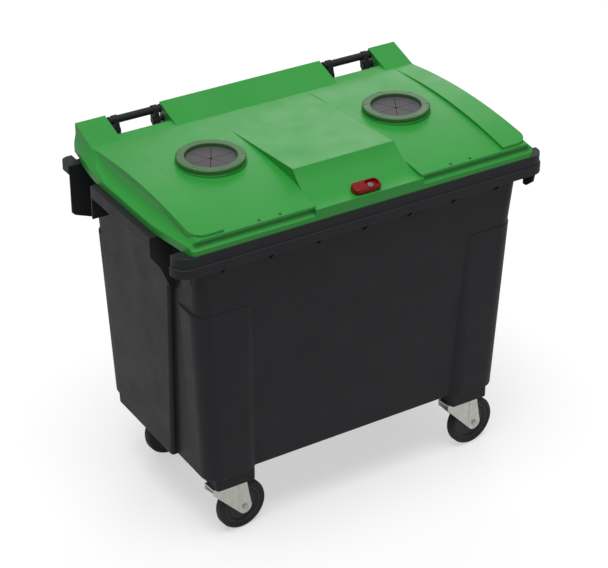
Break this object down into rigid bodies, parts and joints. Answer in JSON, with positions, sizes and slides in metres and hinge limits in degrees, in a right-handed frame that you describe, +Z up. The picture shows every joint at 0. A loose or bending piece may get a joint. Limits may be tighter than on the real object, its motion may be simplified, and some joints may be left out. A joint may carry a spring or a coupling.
{
  "type": "wheeled waste container",
  "caption": "Large black waste container on swivel casters with a hinged green lid, two round bottle inlets with slit rubber rosettes, a red key lock and two handle bars.",
  "frame": {"origin": "on the floor, under the middle of the overall box", "axes": "+X along the width, to the right for someone who faces the lock; -Y is the front, +Z up"},
  "size_m": [1.37, 0.806, 1.25],
  "materials": {
    "tub_plastic": "black polyethylene with a slight sheen",
    "lid_plastic": "mid green polyethylene, softly glossy",
    "ring_plastic": "dull olive green plastic",
    "rosette_rubber": "grey rubber",
    "black_plastic": "black plastic",
    "seal_rubber": "black rubber",
    "lock_plastic": "red plastic",
    "lock_metal": "nickel-plated",
    "zinc_steel": "zinc-plated, dull",
    "screw_steel": "zinc-plated",
    "wheel_plastic": "black plastic",
    "tyre_rubber": "black rubber",
    "nylon": "natural nylon"
  },
  "bodies": {
    "tub": {"tub": "tub_plastic", "handle_bar_left": "zinc_steel", "handle_bar_right": "zinc_steel", "handle_bar_caps": "black_plastic", "hinge_pins": "zinc_steel", "drain_plug": "black_plastic", "drain_seal": "seal_rubber", "lock_striker": "zinc_steel", "striker_screws": "screw_steel", "caster_bolts": "screw_steel", "caster_plate_front_left": "zinc_steel", "swivel_balls_front_left": "screw_steel", "kingpin_front_left": "zinc_steel", "caster_plate_front_right": "zinc_steel", "swivel_balls_front_right": "screw_steel", "kingpin_front_right": "zinc_steel", "caster_plate_rear_left": "zinc_steel", "swivel_balls_rear_left": "screw_steel", "kingpin_rear_left": "zinc_steel", "caster_plate_rear_right": "zinc_steel", "swivel_balls_rear_right": "screw_steel", "kingpin_rear_right": "zinc_steel"},
    "lid": {"lid": "lid_plastic", "hinge_bushes": "nylon", "inlet_ring_left": "ring_plastic", "inlet_ring_right": "ring_plastic", "rosette_left": "rosette_rubber", "rosette_right": "rosette_rubber", "clamp_ring_left": "black_plastic", "clamp_ring_right": "black_plastic", "ring_screws": "screw_steel", "wing_screws": "screw_steel", "lock_housing": "lock_plastic"},
    "lock_core": {"lock_barrel": "lock_metal", "lock_cam": "zinc_steel", "lock_cam_screw": "screw_steel"},
    "swivel_front_left": {"fork_front_left": "zinc_steel", "axle_bolt_front_left": "screw_steel"},
    "wheel_front_left": {"wheel_rim_front_left": "wheel_plastic", "tyre_front_left": "tyre_rubber", "wheel_bearing_front_left": "nylon"},
    "swivel_front_right": {"fork_front_right": "zinc_steel", "axle_bolt_front_right": "screw_steel"},
    "wheel_front_right": {"wheel_rim_front_right": "wheel_plastic", "tyre_front_right": "tyre_rubber", "wheel_bearing_front_right": "nylon"},
    "swivel_rear_left": {"fork_rear_left": "zinc_steel", "axle_bolt_rear_left": "screw_steel"},
    "wheel_rear_left": {"wheel_rim_rear_left": "wheel_plastic", "tyre_rear_left": "tyre_rubber", "wheel_bearing_rear_left": "nylon"},
    "swivel_rear_right": {"fork_rear_right": "zinc_steel", "axle_bolt_rear_right": "screw_steel"},
    "wheel_rear_right": {"wheel_rim_rear_right": "wheel_plastic", "tyre_rear_right": "tyre_rubber", "wheel_bearing_rear_right": "nylon"}
  },
  "joints": [
    {"name": "lid_hinge", "type": "hinge", "parent": "tub", "child": "lid", "pos_m": [0, 0.38, 1.2], "axis": [-1, 0, 0], "range_deg": [0, 255]},
    {"name": "lock_turn", "type": "hinge", "parent": "lid", "child": "lock_core", "pos_m": [0.016, -0.366, 1.18574], "axis": [0, 0.2079, -0.9781], "range_deg": [0, 90]},
    {"name": "swivel_front_left", "type": "hinge", "parent": "tub", "child": "swivel_front_left", "pos_m": [-0.466, -0.29, 0.2], "axis": [0, 0, 1], "continuous": true},
    {"name": "wheel_spin_front_left", "type": "hinge", "parent": "swivel_front_left", "child": "wheel_front_left", "pos_m": [-0.42416, -0.28634, 0.09], "axis": [0.0872, -0.9962, 0], "continuous": true},
    {"name": "swivel_front_right", "type": "hinge", "parent": "tub", "child": "swivel_front_right", "pos_m": [0.466, -0.29, 0.2], "axis": [0, 0, 1], "continuous": true},
    {"name": "wheel_spin_front_right", "type": "hinge", "parent": "swivel_front_right", "child": "wheel_front_right", "pos_m": [0.50784, -0.28634, 0.09], "axis": [0.0872, -0.9962, 0], "continuous": true},
    {"name": "swivel_rear_left", "type": "hinge", "parent": "tub", "child": "swivel_rear_left", "pos_m": [-0.466, 0.214, 0.2], "axis": [0, 0, 1], "continuous": true},
    {"name": "wheel_spin_rear_left", "type": "hinge", "parent": "swivel_rear_left", "child": "wheel_rear_left", "pos_m": [-0.42416, 0.21766, 0.09], "axis": [0.0872, -0.9962, 0], "continuous": true},
    {"name": "swivel_rear_right", "type": "hinge", "parent": "tub", "child": "swivel_rear_right", "pos_m": [0.466, 0.214, 0.2], "axis": [0, 0, 1], "continuous": true},
    {"name": "wheel_spin_rear_right", "type": "hinge", "parent": "swivel_rear_right", "child": "wheel_rear_right", "pos_m": [0.50784, 0.21766, 0.09], "axis": [0.0872, -0.9962, 0], "continuous": true}
  ]
}
